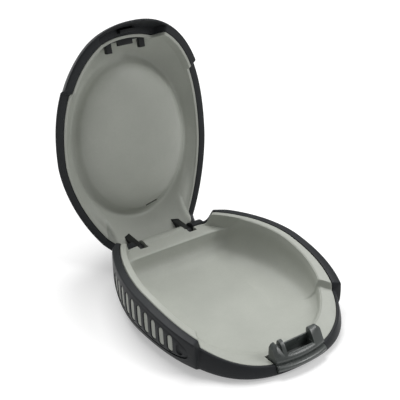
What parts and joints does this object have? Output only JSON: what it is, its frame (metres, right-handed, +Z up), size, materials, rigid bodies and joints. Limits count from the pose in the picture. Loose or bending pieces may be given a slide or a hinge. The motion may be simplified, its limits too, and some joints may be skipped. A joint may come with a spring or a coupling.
{
  "type": "hearing_aid_case",
  "caption": "Egg-shaped clamshell case for hearing aids with a dark shell, grey inner tray and liner, slotted side grips, concealed hinge and front push latch",
  "frame": {"origin": "Centre of the flat bottom on the base's widest line, on the surface it stands on", "axes": "+X along the hinge to the right, +Y from the latch to the hinge, +Z up"},
  "size_m": [0.0678, 0.1133, 0.0847],
  "materials": {
    "grey_shell": "satin moulded grey",
    "dark_shell": "fine-grained charcoal",
    "dark_latch": "smooth charcoal",
    "steel": "plain drawn steel"
  },
  "bodies": {
    "base": {"base_tray": "grey_shell", "base_cover": "dark_shell", "grip_left": "dark_shell", "grip_right": "dark_shell", "grip_comb_left": "grey_shell", "grip_comb_right": "grey_shell", "latch_spring": "steel", "hinge_pin": "steel"},
    "lid": {"lid_cover": "dark_shell", "lid_liner": "grey_shell", "lid_catch": "dark_latch", "hinge_arm_left": "dark_latch", "hinge_arm_right": "dark_latch"},
    "button": {"latch_button": "dark_latch"}
  },
  "joints": [
    {"name": "lid_hinge", "type": "hinge", "parent": "base", "child": "lid", "pos_m": [0, 0.0354, 0.008], "axis": [1, 0, 0], "range_deg": [0, 102.5]},
    {"name": "button_slide", "type": "slide", "parent": "base", "child": "button", "axis": [0, 1, 0], "range_m": [0, 0.0012], "stiffness_N_per_m": 900, "deforming": ["latch_spring"]}
  ]
}
